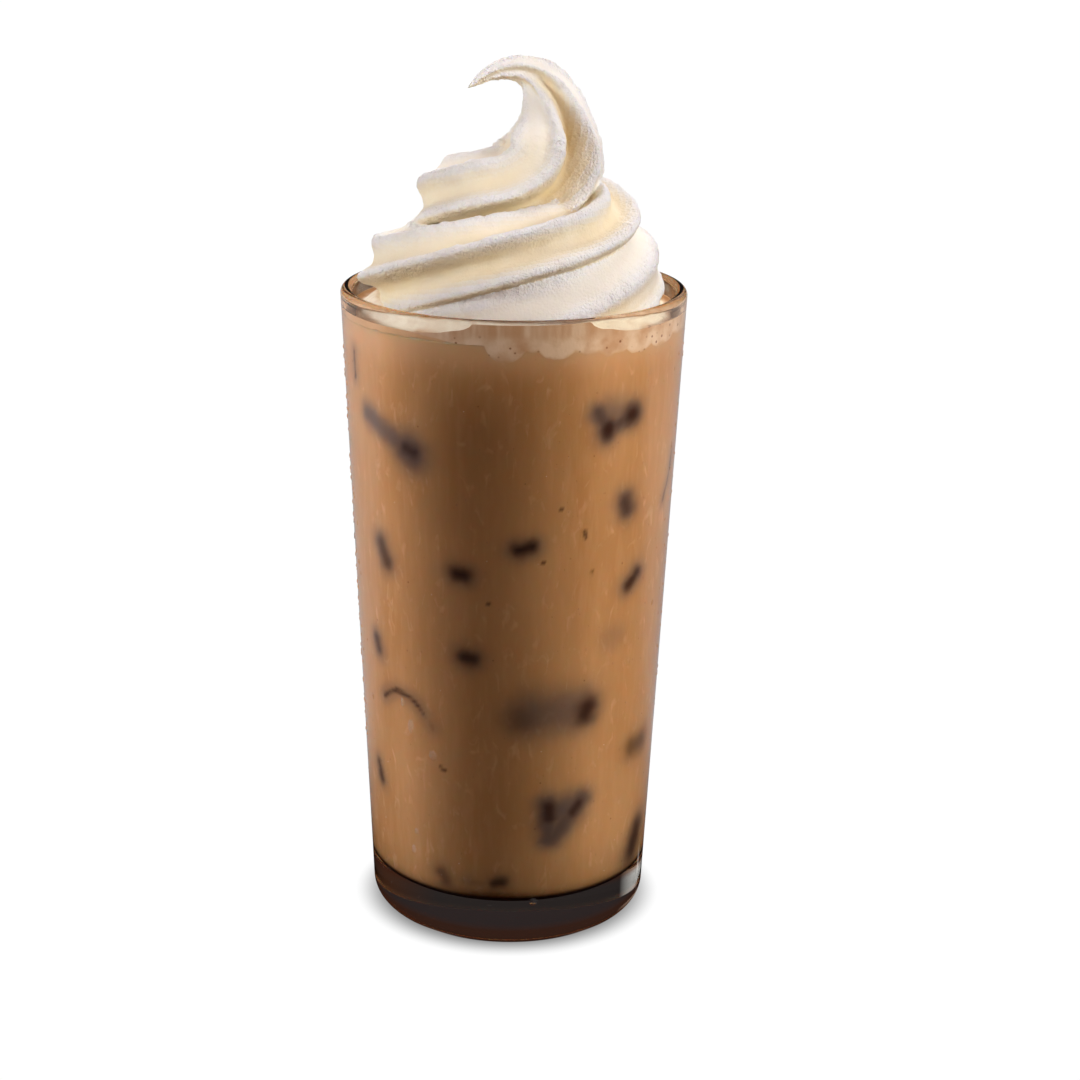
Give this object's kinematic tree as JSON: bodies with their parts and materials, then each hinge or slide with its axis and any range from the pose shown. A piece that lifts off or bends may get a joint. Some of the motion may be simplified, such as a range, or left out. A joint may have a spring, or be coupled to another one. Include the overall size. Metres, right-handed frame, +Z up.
{
  "type": "mocha float",
  "caption": "Iced mocha drink in a tall tapered glass, with a froth layer under the rim and a ridged soft serve swirl that ends in a hooked tip.",
  "frame": {"origin": "middle of the underside of the glass's foot, on the surface it stands on", "axes": "+Z up through the glass; the front, where the swirl's hooked tip points left, is -Y; +X is to the right"},
  "size_m": [0.084, 0.084, 0.2158],
  "materials": {
    "glass": "clear, fire polished",
    "drink": "cloudy brown liquid",
    "froth": "fine matt foam",
    "soft_serve": "soft, finely torn surface"
  },
  "bodies": {
    "root": {"glass": "glass", "drink": "drink", "froth": "froth", "soft_serve": "soft_serve"}
  },
  "joints": []
}
